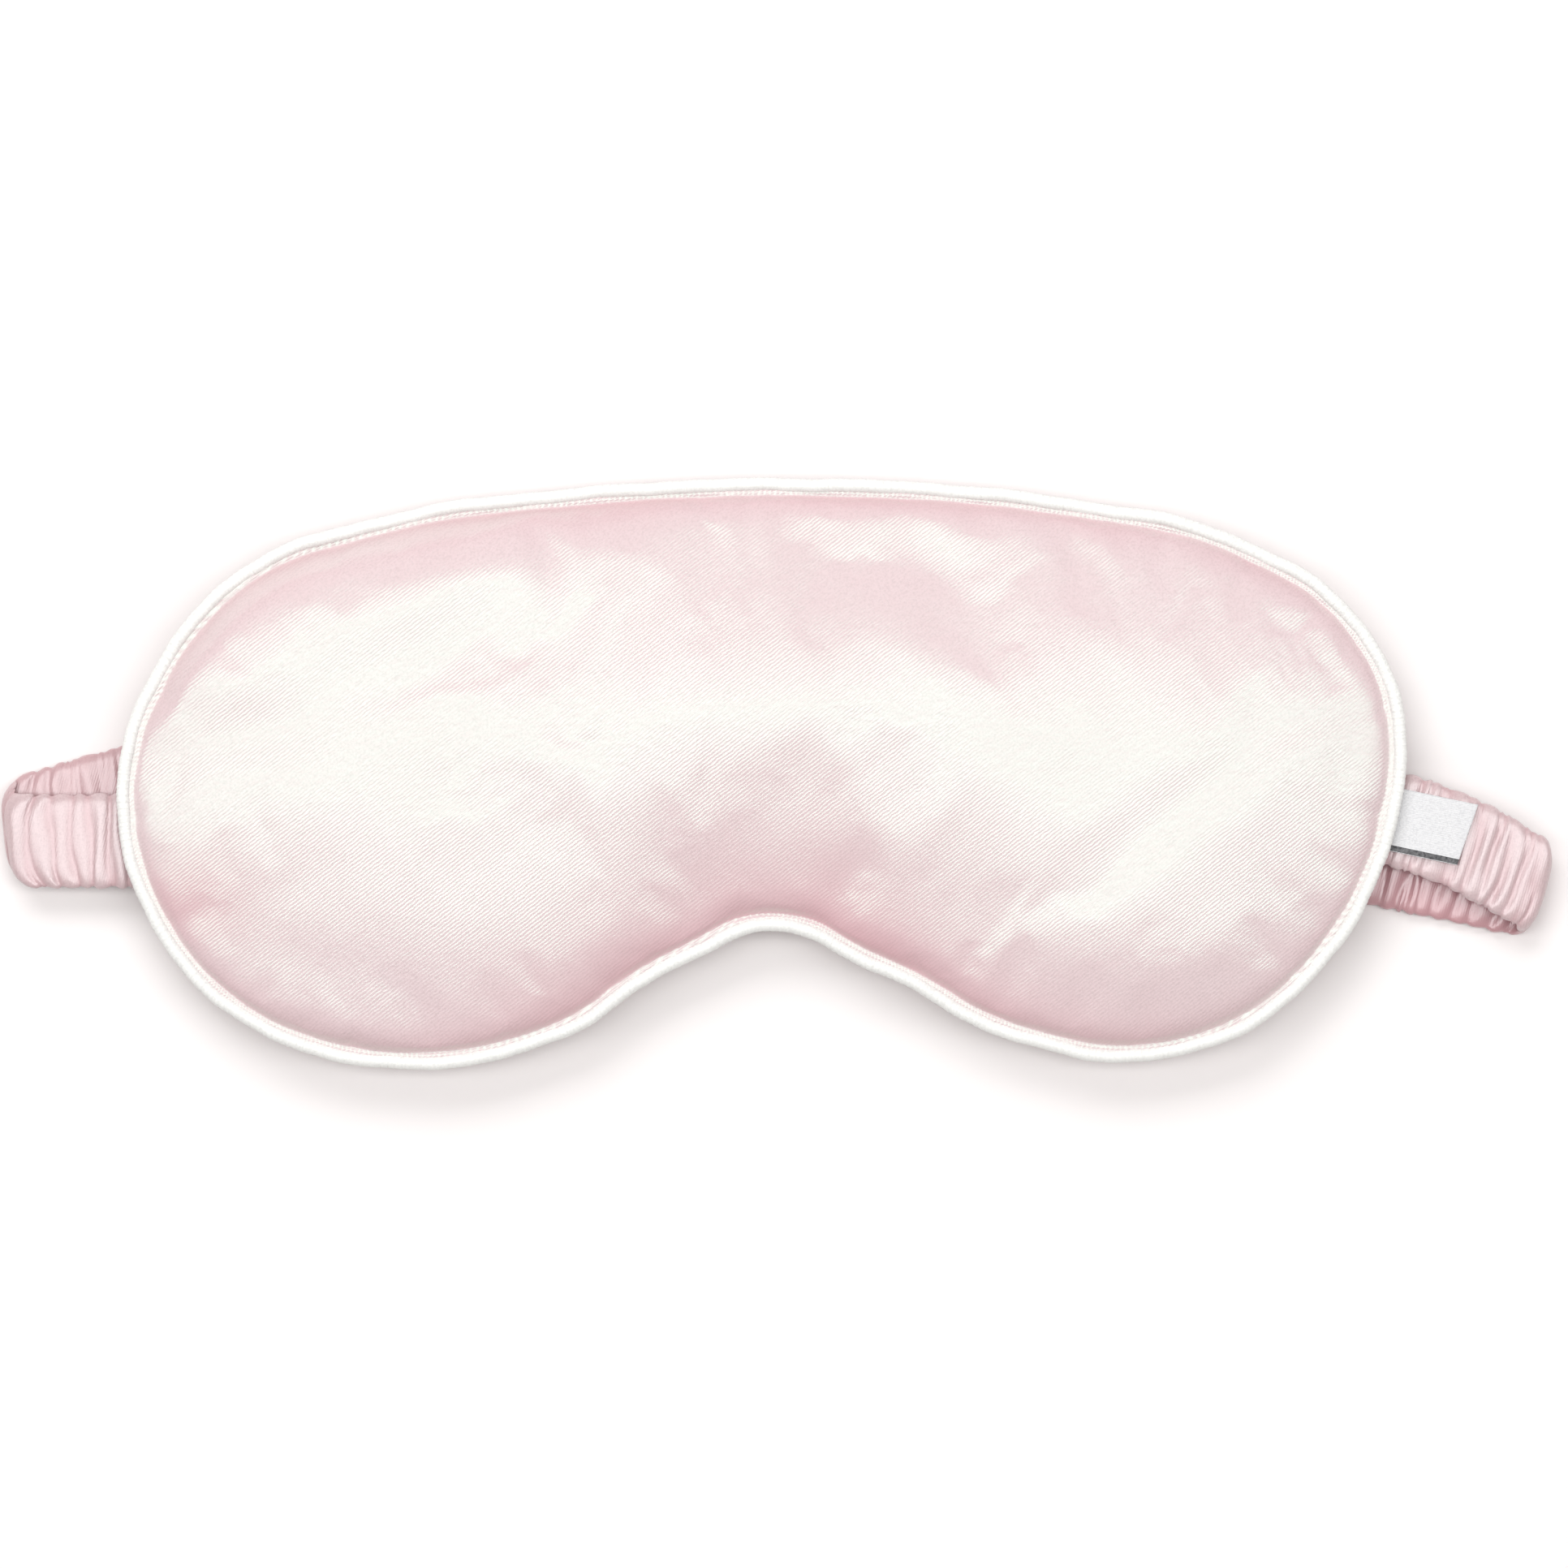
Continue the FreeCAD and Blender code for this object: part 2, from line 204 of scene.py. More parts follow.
# The outline in fine steps, and how many points are measured against it at a time.
EDGE_STEP = 0.3
EDGE, INWARD = outline_samples(EDGE_STEP)
EDGE_LENGTHS = np.concatenate([[0], np.cumsum(np.abs(np.diff(EDGE)))])
EDGE_LENGTH = EDGE_LENGTHS[-1] + abs(EDGE[0] - EDGE[-1])
BATCH = 2000


def edge_distance(points_mm):
    """How far inside the outline each point is, and where along it the nearest place is."""
    places = np.asarray(points_mm)[:, 0] + 1j * np.asarray(points_mm)[:, 1]
    distances = np.empty(len(places))
    positions = np.empty(len(places))
    for i in range(0, len(places), BATCH):
        gaps = np.abs(places[i:i + BATCH, None] - EDGE[None, :])
        nearest = gaps.argmin(1)
        distances[i:i + BATCH] = gaps[np.arange(len(nearest)), nearest]
        positions[i:i + BATCH] = EDGE_LENGTHS[nearest]
    return distances, positions


# ---------------------------------------------------------------- camera and light

# How wide the view is at the height of the seam, and its middle, in metres.
VIEW_WIDTH = 0.2666
VIEW_MIDDLE = (0.0011, -0.0017)

# The world's even glow, and the light panels: name, place, size in metres, power in
# watts and whether they are seen in reflections.
WORLD_COLOUR = (1.0, 0.94, 0.935, 1)
WORLD_STRENGTH = 0.33
PANEL_COLOUR = (0.99, 1, 1)
LIGHT_PANELS = [
    ("overhead_light", (0.0, 0.03, 1.45), (4.4, 0.56), 29.5, True),
    ("rear_light", (-0.3, 1.0, 0.95), (1.2, 0.6), 12, False),
    ("low_front_light", (0.4, -1.1, 0.9), (1.6, 0.6), 2.5, False),
]

# The floor: colour, reach each way in millimetres, and how far under z = 0 in metres.
FLOOR_COLOUR = (0.81, 0.78, 0.772, 1)
FLOOR_REACH = 1500
FLOOR_GAP = 0.0002


def add_camera():
    """Camera straight above the mask, looking down with +Y up the image."""
    lens = bpy.data.cameras.new("camera")
    lens.lens = 150
    lens.sensor_width = 36
    lens.clip_end = 10
    camera = bpy.data.objects.new("camera", lens)
    bpy.context.scene.collection.objects.link(camera)
    distance = VIEW_WIDTH * lens.lens / lens.sensor_width
    camera.location = (*VIEW_MIDDLE, SEAM_HEIGHT * MM + distance)
    bpy.context.scene.camera = camera


def add_panel_light(name, place, size, power, reflected):
    """Soft rectangular light aimed at the mask, seen in reflections or not."""
    data = bpy.data.lights.new(name, "AREA")
    data.shape = "RECTANGLE"
    data.size, data.size_y = size
    data.energy = power
    data.color = PANEL_COLOUR
    light = bpy.data.objects.new(name, data)
    light.visible_glossy = reflected
    bpy.context.scene.collection.objects.link(light)
    light.location = place
    light.rotation_euler = (-Vector(place)).to_track_quat("-Z", "Y").to_euler()


def add_stage():
    """Pale floor and soft studio light."""
    world = bpy.data.worlds.new("studio")
    world.use_nodes = True
    background = world.node_tree.nodes["Background"]
    background.inputs["Color"].default_value = WORLD_COLOUR
    background.inputs["Strength"].default_value = WORLD_STRENGTH
    bpy.context.scene.world = world
    bpy.context.scene.view_settings.view_transform = "Standard"
    for name, place, size, power, reflected in LIGHT_PANELS:
        add_panel_light(name, place, size, power, reflected)
    reach = FLOOR_REACH
    corners = [(-reach, -reach, 0), (reach, -reach, 0), (reach, reach, 0), (-reach, reach, 0)]
    floor = make_mesh("floor", corners, [(0, 1, 2, 3)])
    floor.location.z = -FLOOR_GAP
    material = bpy.data.materials.new("floor_white")
    material.use_nodes = True
    shader = material.node_tree.nodes["Principled BSDF"]
    shader.inputs["Base Color"].default_value = FLOOR_COLOUR
    shader.inputs["Roughness"].default_value = 0.9
    shader.inputs["Specular IOR Level"].default_value = 0.1
    floor.data.materials.append(material)


# ---------------------------------------------------------------- materials

class Cloth:
    """A procedural cloth material: colour that drifts, a weave and a soft gloss.

    With a deep colour, the painted shade stored at each point mixes the cloth towards it.
    """

    def __init__(self, name, colour, second, roughness=0.4, gloss=0.5, index=1.5,
                 tint=(1, 1, 1), drift=45, deep=None):
        self.material = bpy.data.materials.new(name)
        self.material.use_nodes = True
        self.tree = self.material.node_tree
        self.shader = self.tree.nodes["Principled BSDF"]
        self.place = self.add("ShaderNodeTexCoord").outputs["Object"]
        self.set_input("Roughness", roughness)
        self.set_input("Specular IOR Level", gloss)
        self.set_input("IOR", index)
        self.set_input("Specular Tint", (*tint, 1))
        base = self.colour(colour, second, drift)
        if deep is not None:
            # Painted shade: mix towards the deep colour by the shade stored at each point.
            shade = self.add("ShaderNodeAttribute")
            shade.attribute_name = "shade"
            base = self.mix(shade.outputs["Fac"], base, deep)
        self.link(base, self.shader.inputs["Base Color"])

    def add(self, kind):
        return self.tree.nodes.new(kind)

    def link(self, source, target):
        self.tree.links.new(source, target)

    def set_input(self, name, value):
        self.shader.inputs[name].default_value = value

    def noise(self, scale, detail=3.0):
        """Noise over the cloth; scale is in cells per metre."""
        node = self.add("ShaderNodeTexNoise")
        node.inputs["Scale"].default_value = scale
        node.inputs["Detail"].default_value = detail
        self.link(self.place, node.inputs["Vector"])
        return node.outputs["Fac"]

    def mix(self, amount, first, second):
        """A colour between two, each a fixed colour or a socket."""
        node = self.add("ShaderNodeMix")
        node.data_type = "RGBA"
        self.link(amount, node.inputs["Factor"])
        for socket, value in ((node.inputs["A"], first), (node.inputs["B"], second)):
            if isinstance(value, tuple):
                socket.default_value = (*value, 1)
            else:
                self.link(value, socket)
        return node.outputs["Result"]

    def ramp(self, source, low, high):
        """0 at low, 1 at high and a straight rise between."""
        node = self.add("ShaderNodeMapRange")
        node.inputs["From Min"].default_value = low
        node.inputs["From Max"].default_value = high
        self.link(source, node.inputs["Value"])
        return node.outputs["Result"]

    def colour(self, first, second, drift):
        """Base colour that drifts between two colours, with a fine thread grain."""
        patches = self.mix(self.ramp(self.noise(drift), 0.35, 0.65), first, second)
        darker = tuple(0.9 * channel for channel in second)
        return self.mix(self.ramp(self.noise(2600, 1.0), 0.42, 0.75), patches, darker)

    def twill(self, spacing_mm, angle, depth_mm):
        """Fine parallel ribs across the cloth, broken up by noise, as bump."""
        mapping = self.add("ShaderNodeMapping")
        mapping.inputs["Rotation"].default_value = (0, 0, math.radians(angle))
        self.link(self.place, mapping.inputs["Vector"])
        wave = self.add("ShaderNodeTexWave")
        wave.bands_direction = "X"
        # A wave node repeats every 2 pi / 20 of its scaled coordinate.
        wave.inputs["Scale"].default_value = math.pi / 10 / (spacing_mm * MM)
        wave.inputs["Distortion"].default_value = 2.0
        wave.inputs["Detail"].default_value = 1.0
        wave.inputs["Detail Scale"].default_value = 1.5
        self.link(mapping.outputs["Vector"], wave.inputs["Vector"])
        bump = self.add("ShaderNodeBump")
        bump.inputs["Strength"].default_value = 0.5
        bump.inputs["Distance"].default_value = depth_mm * MM
        self.link(wave.outputs["Fac"], bump.inputs["Height"])
        self.link(bump.outputs["Normal"], self.shader.inputs["Normal"])
        return self


def srgb(red, green, blue):
    """Linear colour from 8-bit screen values."""
    def linear(value):
        value /= 255
        return value / 12.92 if value <= 0.04045 else ((value + 0.055) / 1.055) ** 2.4
    return tuple(linear(value) for value in (red, green, blue))


def make_materials():
    """Every material of the mask, by name."""
    pink = (0.71, 0.55, 0.57)
    deeper = (0.695, 0.53, 0.55)
    # The deep colour that painted shade mixes the front satin towards.
    shaded_pink = (0.63, 0.345, 0.385)
    # The tint of the satin's gloss, which cancels the pink where it reflects a light.
    tint = (0.45, 1.0, 0.78)
    made = {
        "satin": Cloth("pink_satin", pink, deeper, 0.27, 0.57, 2.0, tint, deep=shaded_pink)
        .twill(0.55, 52, 0.05),
        "back": Cloth("pink_satin_back", pink, deeper, 0.28, 0.6, 2.0, tint)
        .twill(0.55, 52, 0.05),
        # The ruched satin's deep colour is for painted shade in its hollows and on the loops' lower
        # layer.
        "ruched": Cloth("ruched_satin", (0.565, 0.44, 0.445), (0.535, 0.405, 0.415), 0.3, 0.55, 1.9,
                        deep=(0.46, 0.24, 0.26))
        .twill(0.4, 15, 0.03),
        "piping": Cloth("white_satin", (0.79, 0.79, 0.765), (0.77, 0.77, 0.745), 0.4, 0.4, 1.5)
        .twill(0.35, 45, 0.02),
        "wadding": Cloth("wadding", (0.82, 0.82, 0.8), (0.76, 0.76, 0.74), 0.95, 0.1)
        .twill(1.5, 20, 0.2),
        "lining": Cloth("blackout_lining", (0.012, 0.012, 0.013), (0.02, 0.02, 0.02), 0.8, 0.3)
        .twill(0.4, 0, 0.05),
        "cord": Cloth("cotton_cord", (0.8, 0.79, 0.76), (0.72, 0.71, 0.68), 0.9, 0.2)
        .twill(0.8, 35, 0.1),
        "thread": Cloth("thread", srgb(240, 226, 226), srgb(230, 210, 212), 0.6, 0.4)
        .twill(0.3, 60, 0.05),
        "elastic": Cloth("woven_elastic", (0.85, 0.85, 0.83), (0.78, 0.78, 0.76), 0.7, 0.3)
        .twill(0.7, 90, 0.1),
        "label": Cloth("woven_label", srgb(214, 214, 215), srgb(210, 210, 212), 0.6, 0.3)
        .twill(0.3, 80, 0.05),
        "label_line": Cloth("label_line_thread", (0.015, 0.015, 0.018), (0.16, 0.16, 0.165),
                            0.6, 0.4, drift=1500)
        .twill(0.5, 20, 0.15),
    }
    return {name: cloth.material for name, cloth in made.items()}


# ---------------------------------------------------------------- padded panels

# How far inside the outline the puffed part of a panel begins, how far its steep side
# reaches, and how far in the crown is.
MARGIN_END = 3.3
RISE_LENGTH = 4.5
CROWN_LENGTH = 38.0

# Share of the height that the steep side has at the temples, and how much more it has
# where the edge runs crosswise, at the brow and the cheeks.
WALL_SHARE = 0.10
WALL_EXTRA = 0.16

# How far inside the outline the rings of a panel's mesh lie, up to where they are
# finer and by what share, and how far inside it the grid starts.
RING_INSETS = (1.9, 2.3, 2.7, 3.1, 3.5, 4.1, 4.9, 5.9, 7.1)
FINE_RINGS_END = 4
FINE_SHARE = 0.8
GRID_INSET = 8.2
PANEL_SPACING = 1.35

# The wadding: spacing of its points, the room between it and its panel, how much later
# it rises than the panel, how wide its flat rim is, the depth of that rim, and how far
# its inner face is from the seam's height.
WADDING_SPACING = 2.4
WADDING_GAP = 1.6
WADDING_DELAY = 1.2
WADDING_RIM_END = 3.6
WADDING_RIM = 0.2
WADDING_SPLIT = 0.05

# The cloth step: pressure, growth, the most that a point may move and its frames.
CLOTH_PRESSURE = 0.8
CLOTH_GROWTH = 0.0025
CLOTH_CAP = 0.5
CLOTH_FRAMES = 16


def dome(distance, position):
    """Share of the full height that a padded panel has at a distance inside the edge.

    The sides are steep at the brow and the cheeks, and gentle towards the temples.
    """
    steep = np.clip((distance - MARGIN_END) / RISE_LENGTH, 0, 1)
    gentle = np.clip((distance - MARGIN_END) / CROWN_LENGTH, 0, 1)
    facing = np.interp(position, EDGE_LENGTHS, np.abs(INWARD.imag))
    wall = WALL_SHARE + WALL_EXTRA * facing ** 2
    return wall * (1 - (1 - steep) ** 2.2) ** 0.75 + (1 - wall) * (1 - (1 - gentle) ** 2)


def panel_points(spacing):
    """Rings along the edge and a triangular grid inside, with the triangles between."""
    rings = []
    for inset in RING_INSETS:
        count = int(EDGE_LENGTH / (spacing * (FINE_SHARE if inset < FINE_RINGS_END else 1)))
        picks = np.linspace(0, len(EDGE), count, endpoint=False).astype(int)
        rings.append(EDGE[picks] + INWARD[picks] * inset)
    low_x, high_x = EDGE.real.min(), EDGE.real.max()
    low_y, high_y = EDGE.imag.min(), EDGE.imag.max()
    grid = []
    row_height = spacing * math.sqrt(3) / 2
    for row in range(int((high_y - low_y) / row_height) + 1):
        y = low_y + row * row_height
        shift = spacing / 2 if row % 2 else 0
        grid += [(x, y) for x in np.arange(low_x + shift, high_x, spacing)]
    grid = np.array(grid)
    inside = point_in_outline(grid)
    distance, _ = edge_distance(grid)
    grid = grid[inside & (distance > GRID_INSET)]
    flat = np.concatenate([np.column_stack([r.real, r.imag]) for r in rings] + [grid])
    rim = len(rings[0])
    border = [(i, (i + 1) % rim) for i in range(rim)]
    verts, _, faces, *_ = geometry.delaunay_2d_cdt(
        [Vector(p) for p in flat.tolist()], border, [], 1, 1e-5
    )
    return np.array([tuple(v) for v in verts]), [tuple(f) for f in faces]


def point_in_outline(points_mm):
    """Whether each point is inside the outline, by counting crossings."""
    coarse = EDGE[::4]
    x, y = points_mm[:, 0], points_mm[:, 1]
    inside = np.zeros(len(points_mm), bool)
    for start, end in zip(coarse, np.roll(coarse, -1)):
        if start.imag == end.imag:
            continue
        between = (y >= min(start.imag, end.imag)) & (y < max(start.imag, end.imag))
        cross_x = start.real + (y - start.imag) * (end.real - start.real) / (end.imag - start.imag)
        inside ^= between & (cross_x > x)
    return inside


def puckers(distance, position, seed, depth):
    """Small gathers that run in from the seam and fade out."""
    rng = np.random.default_rng(seed)
    total = np.zeros(len(distance))
    place = 0.0
    while place < EDGE_LENGTH:
        width = rng.uniform(1.6, 4.0)
        reach = rng.uniform(3.0, 11.0)
        strength = rng.uniform(0.15, 1.0)
        away = np.abs(position - place)
        away = np.minimum(away, EDGE_LENGTH - away)
        fade = bell(distance - MARGIN_END, reach) * smoothstep(distance, 2.6, 4.0)
        total -= strength * bell(away, width) * fade
        place += rng.uniform(5.0, 15.0)
    return depth * total


# Creases of the front: start, end, width and depth, in millimetres. A negative depth
# is a valley, and a positive one a ridge.
FRONT_CREASES = [
    ((-44, 47), (-38, 30), 2.6, -0.55),
    ((-40, 47), (-33, 33), 2.2, 0.4),
    ((46, 46), (51, 31), 2.6, -0.5),
    ((51, 46), (57, 34), 2.2, 0.35),
    ((83, 7), (42, -22), 4.5, -0.4),
    ((88, 2), (52, -28), 5.0, 0.25),
    ((104, 12), (76, 8), 5.0, -0.3),
    ((-109, 2), (-74, 8), 5.5, -0.35),
    ((-98, -26), (-66, -13), 6.0, -0.35),
    ((-60, -20), (-30, -8), 7.0, -0.35),
    ((-10, -27), (-22, -8), 4.5, -0.4),
    ((8, -27), (20, -10), 4.0, -0.4),
    ((2, 46), (10, 20), 6.0, -0.3),
    ((20, 40), (44, 12), 8.0, -0.3),
]

# Creases of the back, in the same form.
BACK_CREASES = [
    ((-90, 30), (-60, 22), 4.0, -0.6),
    ((70, 34), (50, 20), 4.0, -0.6),
    ((-80, -40), (-60, -22), 4.5, -0.6),
    ((70, -38), (48, -22), 4.5, -0.6),
    ((-14, -28), (-24, -10), 4.0, -0.6),
    ((14, -28), (24, -12), 4.0, -0.6),
]


def creases(points_mm, lines):
    """Height change from soft creases, each a line with a round section."""
    places = points_mm[:, 0] + 1j * points_mm[:, 1]
    total = np.zeros(len(places))
    for start, end, width, depth in lines:
        a, b = complex(*start), complex(*end)
        share = ((places - a) * (b - a).conjugate()).real / abs(b - a) ** 2
        bow = 1.5 * np.sin(np.pi * np.clip(share, 0, 1))
        across = ((places - a) * (b - a).conjugate()).imag / abs(b - a) - bow
        ends = smoothstep(share, -0.25, 0.2) * (1 - smoothstep(share, 0.55, 1.25))
        total += depth * bell(across, width) * ends
    return total


# Broad unevenness of the wadding under the front: middle, reach each way and height.
SWELLS = [
    ((27, 44), (36, 14), -1.8),
    ((-14, 47), (12, 8), -0.5),
    ((-62, 41), (34, 14), 2.0),
    ((82, 32), (20, 10), -0.6),
    ((-64, -42), (32, 13), -0.5),
    ((-104, -4), (10, 20), 0.4),
    ((-94, -38), (18, 12), -1.2),
    ((0, -22), (34, 9), -0.5),
    ((19, -11), (9, 6), 0.4),
    ((72, -32), (24, 12), 1.0),
    ((84, 6), (18, 14), 0.3),
]


def swells(points_mm):
    """Height change from the broad high and low places."""
    total = np.zeros(len(points_mm))
    for middle, reach, height in SWELLS:
        total += height * oval(points_mm, middle, reach)
    return total


def strap_line_distance(points_mm):
    """Distance from the middle line of the strap behind the mask."""
    line = back_line(0.0, 400)
    line = settle(np.column_stack([line, np.full(len(line), STRAP_THICKNESS / 2)]), 0.0)
    places = points_mm[:, 0] + 1j * points_mm[:, 1]
    gaps = np.abs(places[:, None] - (line[:, 0] + 1j * line[:, 1])[None, :])
    return gaps.min(1)


def front_height(points_mm, distance, position):
    """Height of the front panel: margin, dome, unevenness, creases and gathers."""
    # A slight ridge over the turned-in seam allowance, and a faint valley inside it.
    margin = 0.16 * bell(distance - 2.6, 0.4)
    margin -= 0.05 * bell(distance - 3.5, 0.35)
    full = CROWN_HEIGHT - SEAM_HEIGHT - 0.9
    soft = smoothstep(distance, 4, 18)
    wavy = 0.5 * noise_at(points_mm, 40, 1) + 0.14 * noise_at(points_mm, 17, 2)
    wavy += 0.03 * noise_at(points_mm, 7, 6)
    height = SEAM_HEIGHT + 0.35 + margin + full * dome(distance, position)
    height += (wavy + swells(points_mm)) * soft
    # The upper left part is fuller close to the seam.
    brow = bell(points_mm[:, 0] + 75, 42) * smoothstep(points_mm[:, 1], 0, 20)
    height += 2.2 * brow * smoothstep(distance, 3.4, 8) * (1 - smoothstep(distance, 8, 30))
    height += creases(points_mm, FRONT_CREASES) * smoothstep(distance, 3.4, 8)
    return height + puckers(distance, position, 5, 0.35)


def back_height(points_mm, distance, position):
    """Height of the back panel, flat where it lies and dented by the strap."""
    soft = smoothstep(distance, 4, 18)
    wavy = 0.5 * noise_at(points_mm, 30, 3) + 0.2 * noise_at(points_mm, 12, 4)
    lift = puckers(distance, position, 8, 0.5) + creases(points_mm, BACK_CREASES) * soft
    height = SEAM_HEIGHT - 0.6 - (SEAM_HEIGHT - 0.7) * dome(distance, position)
    height += wavy * soft - lift
    rest = 0.06 + 0.5 * np.logaddexp(0, (height - 0.5) / 0.5)
    beside = strap_line_distance(points_mm) - STRAP_WIDTH / 2
    dent = (STRAP_THICKNESS + 0.55) * (1 - smoothstep(beside, 0.8, 5))
    return np.maximum(rest, dent)


def simulate_cloth(piece, pinned):
    """Let a panel swell a little as cloth, with its rim held, and keep the result."""
    before = np.array([v.co[:] for v in piece.data.vertices])
    group = piece.vertex_groups.new(name="held")
    group.add([int(i) for i in pinned], 1.0, "REPLACE")
    modifier = piece.modifiers.new("cloth", "CLOTH")
    settings = modifier.settings
    settings.quality = 6
    settings.mass = 0.05
    settings.tension_stiffness = 25
    settings.compression_stiffness = 12
    settings.shear_stiffness = 12
    settings.bending_stiffness = 0.6
    settings.air_damping = 3
    settings.shrink_min = -CLOTH_GROWTH
    settings.use_pressure = True
    settings.uniform_pressure_force = CLOTH_PRESSURE
    settings.vertex_group_mass = "held"
    settings.effector_weights.gravity = 0
    modifier.collision_settings.use_collision = False
    modifier.collision_settings.use_self_collision = False
    modifier.point_cache.frame_start = 1
    modifier.point_cache.frame_end = CLOTH_FRAMES
    scene = bpy.context.scene
    for number in range(1, CLOTH_FRAMES + 1):
        scene.frame_set(number)
    graph = bpy.context.evaluated_depsgraph_get()
    moved = piece.evaluated_get(graph).to_mesh()
    after = np.array([v.co[:] for v in moved.vertices])
    piece.evaluated_get(graph).to_mesh_clear()
    piece.modifiers.remove(modifier)
    scene.frame_set(1)
    shift = after - before
    length = np.linalg.norm(shift, axis=1, keepdims=True)
    cap = CLOTH_CAP * MM
    shift *= cap * np.tanh(length / cap) / np.maximum(length, 1e-9)
    print("cloth", piece.name, "moved at most", round(float(length.max()) / MM, 2), "mm")
    piece.data.vertices.foreach_set("co", (before + shift).ravel())
    piece.data.update()


def subdivide(piece):
    """One level of smooth subdivision, applied."""
    modifier = piece.modifiers.new("subdivide", "SUBSURF")
    modifier.levels = modifier.render_levels = 1
    apply_modifier(piece, modifier)


# Painted shade for a dent at the left, as deeper colour: middle, reach each way and strength.
DENT_MIDDLE = (-101, -22)
DENT_REACH = (11, 8)
DENT_SHADE_STRENGTH = 0.55


def seam_shade(points_mm, distance, position):
    """Painted shade where the satin slopes to the seam: brow, cheeks and above all the nose.

    It is weaker right at the middle of the nose, and some is painted in the dent too.
    """
    x, y = points_mm[:, 0], points_mm[:, 1]
    facing = np.interp(position, EDGE_LENGTHS, np.abs(INWARD.imag)) ** 1.5
    nose = bell(x + 3, 46) * (y < 8)
    reach = 2.4 + 6.5 * nose + 1.2 * noise_at(points_mm, 14, 11)
    strength = 0.5 + 0.5 * nose + 0.3 * noise_at(points_mm, 22, 12)
    strength *= 1 - 0.35 * nose * bell(x, 8)
    fade = np.exp(-np.maximum(distance - 3.6, 0) / reach)
    dent = DENT_SHADE_STRENGTH * oval(points_mm, DENT_MIDDLE, DENT_REACH)
    return np.maximum(strength * facing * fade, dent) * smoothstep(distance, 2.9, 3.5)


def add_panel(name, node, height_of, facing, material, simulate=True):
    """A padded satin panel that follows the outline."""
    flat, faces = panel_points(PANEL_SPACING)
    distance, position = edge_distance(flat)
    height = height_of(flat, distance, position)
    if facing < 0:
        faces = [tuple(reversed(f)) for f in faces]
    piece = make_mesh(name, np.column_stack([flat, height]), faces)
    # Painted shade beside the seam; only the front satin's material shows it.
    set_shade(piece, seam_shade(flat, distance, position))
    if simulate:
        simulate_cloth(piece, np.flatnonzero(distance < MARGIN_END))
    piece.data.materials.append(material)
    subdivide(piece)
    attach(piece, "mask")
    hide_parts(node)


def add_wadding(name, node, height_of, facing, material):
    """Wadding that fills a panel from inside, a little smaller than it."""
    flat, faces = panel_points(WADDING_SPACING)
    distance, position = edge_distance(flat)
    panel = height_of(flat, np.maximum(distance - WADDING_DELAY, MARGIN_END), position)
    depth = np.maximum(np.abs(panel - SEAM_HEIGHT) - WADDING_GAP, WADDING_RIM)
    depth[distance < WADDING_RIM_END] = WADDING_RIM
    count = len(flat)
    outer = np.column_stack([flat, SEAM_HEIGHT + facing * depth])
    inner = np.column_stack([flat, np.full(count, SEAM_HEIGHT + facing * WADDING_SPLIT)])
    if facing < 0:
        faces = [tuple(reversed(f)) for f in faces]
    other = [tuple(i + count for i in reversed(f)) for f in faces]
    piece = make_mesh(name, np.concatenate([outer, inner]), faces + other)
    piece.data.materials.append(material)
    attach(piece, "mask")
    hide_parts(node)


# ---------------------------------------------------------------- piping

# Spacing of the piping's rings and the points in each, how far it sits in from the
# CAD outline, and its ribs: their spacing, their depth and how much thinner they make it.
PIPING_STEP = 0.16
PIPING_SIDES = 14
PIPING_INSET = 0.1
RIB_SPACING = 0.62
RIB_DEPTH = 0.025
RIB_ROOM = 0.06


def add_piping(material):
    """Satin-covered cord round the edge, a little uneven, with fine ribs across it."""
    edge, inward = outline_samples(PIPING_STEP)
    lengths = np.concatenate([[0], np.cumsum(np.abs(np.diff(edge)))])
    total = lengths[-1] + abs(edge[0] - edge[-1])
    phase = 2 * math.pi * lengths / total
    wander = 0.10 * np.sin(23 * phase + 1) + 0.07 * np.sin(41 * phase) + 0.03 * np.sin(97 * phase)
    lift = 0.12 * np.sin(19 * phase + 2) + 0.06 * np.sin(53 * phase)
    centre = edge + inward * (PIPING_RADIUS + PIPING_INSET + wander)
    rib_count = round(total / RIB_SPACING)
    points = []
    for turn in np.arange(PIPING_SIDES) * 2 * math.pi / PIPING_SIDES:
        slanted = rib_count * phase + 0.9 * math.sin(turn) + 0.6 * np.sin(37 * phase)
        uneven = 0.5 * slanted + 3 * np.sin(11 * phase)
        ribs = RIB_DEPTH * np.sin(slanted) + RIB_DEPTH * np.sin(uneven)
        radius = PIPING_RADIUS - RIB_ROOM + ribs
        side = centre - inward * radius * math.cos(turn)
        height = SEAM_HEIGHT + lift + radius * math.sin(turn)
        points.append(np.column_stack([side.real, side.imag, height]))
    points = np.stack(points, axis=1).reshape(-1, 3)
    quads = grid_faces(len(edge), PIPING_SIDES, True, True)
    piece = make_mesh("piping", points, [(a, d, c, b) for a, b, c, d in quads])
    piece.data.materials.append(material)
    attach(piece, "mask")
    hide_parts("piping_cover")


# ---------------------------------------------------------------- strap

# Rows of points along each sewn end, each fold and the run behind the mask.
END_ROWS = 90
FOLD_ROWS = 60
BACK_ROWS = 700

# More gathers than the strap has, the first of them before its start, and the random
# seed and the least and greatest spacing of the broad ones and the fine ones.
GATHER_COUNT = 400
GATHERS_START = -20
BROAD_GATHERS = {"seed": 3, "low": 2.0, "high": 4.6}
FINE_GATHERS = {"seed": 4, "low": 0.9, "high": 1.9}

# The slump of the loops: how far inside the fold it fades, the length of the arch and
# how far the shape of the fold reaches.
SLUMP_FADE = (22, 65)
ARCH_LENGTH = 36
FOLD_REACH = 7

